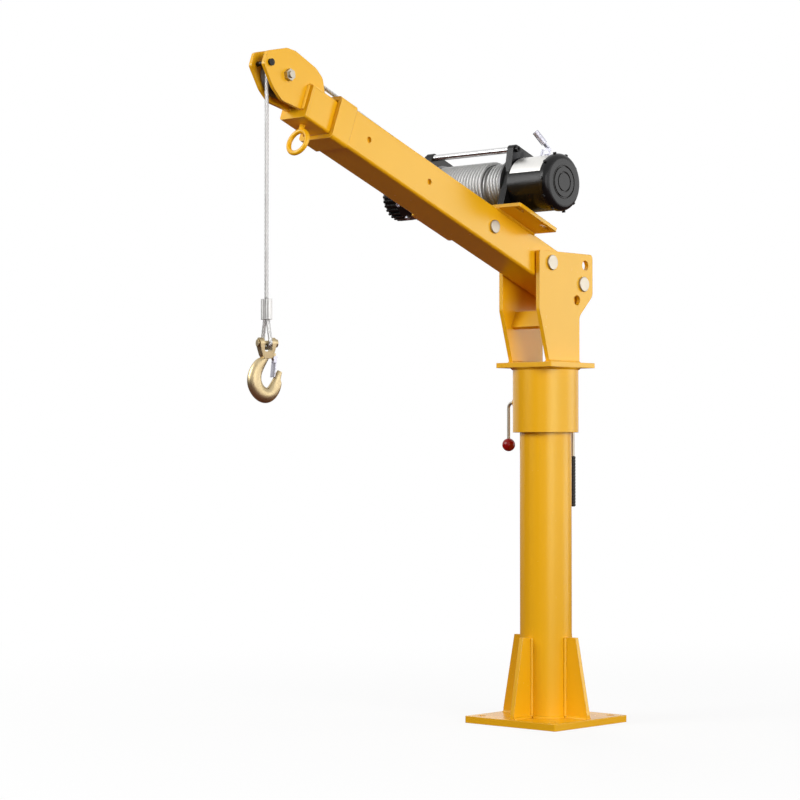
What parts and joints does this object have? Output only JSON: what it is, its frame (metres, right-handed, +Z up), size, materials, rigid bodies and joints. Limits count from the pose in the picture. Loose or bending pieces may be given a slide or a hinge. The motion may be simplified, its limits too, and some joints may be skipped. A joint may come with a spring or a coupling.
{
  "type": "truck-mounted jib crane",
  "caption": "Bolted column crane with a slewing head, luffing telescopic square boom, electric winch on the boom, sheave head and wire rope with a latched clevis hook.",
  "frame": {"origin": "centre of the base plate's underside", "axes": "+Z up along the column, +X towards the boom head at rest, +Y towards the winch motor"},
  "size_m": [1.0286, 0.488, 1.3832],
  "materials": {
    "yellow_powder_coat": "glossy yellow powder coat",
    "zinc_steel": "pale zinc plate",
    "bright_zinc": "bright zinc plate",
    "bronze": "plain bearing bronze",
    "red_plastic": "moulded red ball",
    "black_grip": "moulded grip",
    "nylon": "slide pads",
    "black_paint": "satin black paint",
    "bare_aluminium": "bare motor band",
    "chromed_rod": "polished tie rods",
    "black_steel": "phosphated steel",
    "wire_rope": "stranded wire rope",
    "ferrule_aluminium": "pressed ferrule",
    "gold_zinc": "yellow zinc plate"
  },
  "bodies": {
    "mast": {"base_plate": "yellow_powder_coat", "column": "yellow_powder_coat", "gusset_front": "yellow_powder_coat", "gusset_left": "yellow_powder_coat", "gusset_rear": "yellow_powder_coat", "gusset_right": "yellow_powder_coat", "thrust_washer": "bronze"},
    "slew_head": {"slew_sleeve": "yellow_powder_coat", "slew_bushes": "bronze", "slew_flange": "yellow_powder_coat", "side_plate_left": "yellow_powder_coat", "side_plate_right": "yellow_powder_coat", "fold_rest": "yellow_powder_coat", "pivot_pin": "zinc_steel", "lock_boss": "yellow_powder_coat", "slew_handle": "zinc_steel", "handle_grip": "black_grip"},
    "slew_lock": {"lock_lever": "zinc_steel", "lock_ball": "red_plastic"},
    "tilt_pin_l": {"tilt_pin_left": "zinc_steel"},
    "tilt_pin_r": {"tilt_pin_right": "zinc_steel"},
    "boom": {"boom_outer": "yellow_powder_coat", "pivot_tube": "yellow_powder_coat", "boom_collar": "yellow_powder_coat", "slide_pads_front": "nylon", "winch_plate": "yellow_powder_coat", "winch_frame_motor": "black_paint", "winch_frame_gear": "black_paint", "tie_rods": "chromed_rod", "winch_screws": "black_paint", "motor_body": "black_paint", "motor_band": "bare_aluminium", "motor_cap": "black_paint", "winch_fittings": "bright_zinc", "gear_housing": "black_paint", "gear_cap": "black_paint", "rope_run": "wire_rope"},
    "extend_lock": {"extend_bolt": "zinc_steel"},
    "clutch": {"clutch_lever": "zinc_steel"},
    "drum": {"winch_drum": "black_steel", "rope_pack": "wire_rope", "rope_winding_upper": "wire_rope", "rope_winding_lower": "wire_rope"},
    "inner_boom": {"boom_inner": "yellow_powder_coat", "boom_end_plate": "yellow_powder_coat", "slide_pads_rear": "nylon", "head_plate_left": "yellow_powder_coat", "head_plate_right": "yellow_powder_coat", "sheave_axle": "zinc_steel", "keeper_bolt": "black_paint", "eye_ring": "yellow_powder_coat", "rope_wrap": "wire_rope"},
    "sheave": {"sheave": "black_steel", "sheave_bush": "bronze"},
    "rope_hang": {"rope_fall": "wire_rope"},
    "hook_end": {"rope_ferrule": "ferrule_aluminium", "rope_eye": "wire_rope", "clevis_pin": "gold_zinc"},
    "hook": {"hook": "gold_zinc"},
    "latch": {"hook_latch": "bright_zinc"}
  },
  "joints": [
    {"name": "slew", "type": "hinge", "parent": "mast", "child": "slew_head", "pos_m": [0, 0, 0.71], "axis": [0, 0, 1], "continuous": true},
    {"name": "slew_lock_turn", "type": "hinge", "parent": "slew_head", "child": "slew_lock", "pos_m": [0, -0.09, 0.705], "axis": [0, 1, 0], "range_deg": [-90, 90]},
    {"name": "tilt_pin_left_pull", "type": "slide", "parent": "slew_head", "child": "tilt_pin_l", "axis": [0, 1, 0], "range_m": [0, 0.04]},
    {"name": "tilt_pin_right_pull", "type": "slide", "parent": "slew_head", "child": "tilt_pin_r", "axis": [0, -1, 0], "range_m": [0, 0.04]},
    {"name": "luff", "type": "hinge", "parent": "slew_head", "child": "boom", "pos_m": [0.049, 0, 1.0078], "axis": [0, 1, 0], "range_deg": [-20.7, 87.7]},
    {"name": "extend_bolt_pull", "type": "slide", "parent": "boom", "child": "extend_lock", "axis": [0, 1, 0], "range_m": [0, 0.035]},
    {"name": "clutch_turn", "type": "hinge", "parent": "boom", "child": "clutch", "pos_m": [0.11845, -0.258, 1.22433], "axis": [-0.3535, 0, 0.9354], "range_deg": [0, 90]},
    {"name": "drum_spin", "type": "hinge", "parent": "boom", "child": "drum", "pos_m": [0.13966, 0, 1.1682], "axis": [0, 1, 0], "range_deg": [-643.77, 268.24]},
    {"name": "extend", "type": "slide", "parent": "boom", "child": "inner_boom", "axis": [0.9354, 0, 0.3535], "range_m": [0, 0.417], "deforming": ["rope_run"]},
    {"name": "sheave_spin", "type": "hinge", "parent": "inner_boom", "child": "sheave", "pos_m": [0.82617, 0, 1.33033], "axis": [0, 1, 0], "range_deg": [-388.1, 930.1]},
    {"name": "rope_plumb", "type": "hinge", "parent": "inner_boom", "child": "rope_hang", "pos_m": [0.82617, 0, 1.33033], "axis": [0, 1, 0], "range_deg": [-88, 21]},
    {"name": "hook_lift", "type": "slide", "parent": "rope_hang", "child": "hook_end", "axis": [0, 0, 1], "range_m": [-0.6005, 0.2505], "deforming": ["rope_fall"]},
    {"name": "hook_swing", "type": "hinge", "parent": "hook_end", "child": "hook", "pos_m": [0.86316, 0, 0.806], "axis": [-0.9397, 0.342, 0], "range_deg": [-45, 45]},
    {"name": "latch_open", "type": "hinge", "parent": "hook", "child": "latch", "pos_m": [0.84719, 0.00581, 0.777], "axis": [-0.342, -0.9397, 0], "range_deg": [0, 35], "stiffness_Nm_per_rad": 0.03, "springref_deg": -22.92}
  ],
  "couplings": [
    {"joint": "hook_lift", "follows": "drum_spin", "m_per_rad": 0.0534},
    {"joint": "sheave_spin", "follows": "drum_spin", "ratio": -1.4432},
    {"joint": "rope_plumb", "follows": "luff", "ratio": -1}
  ]
}
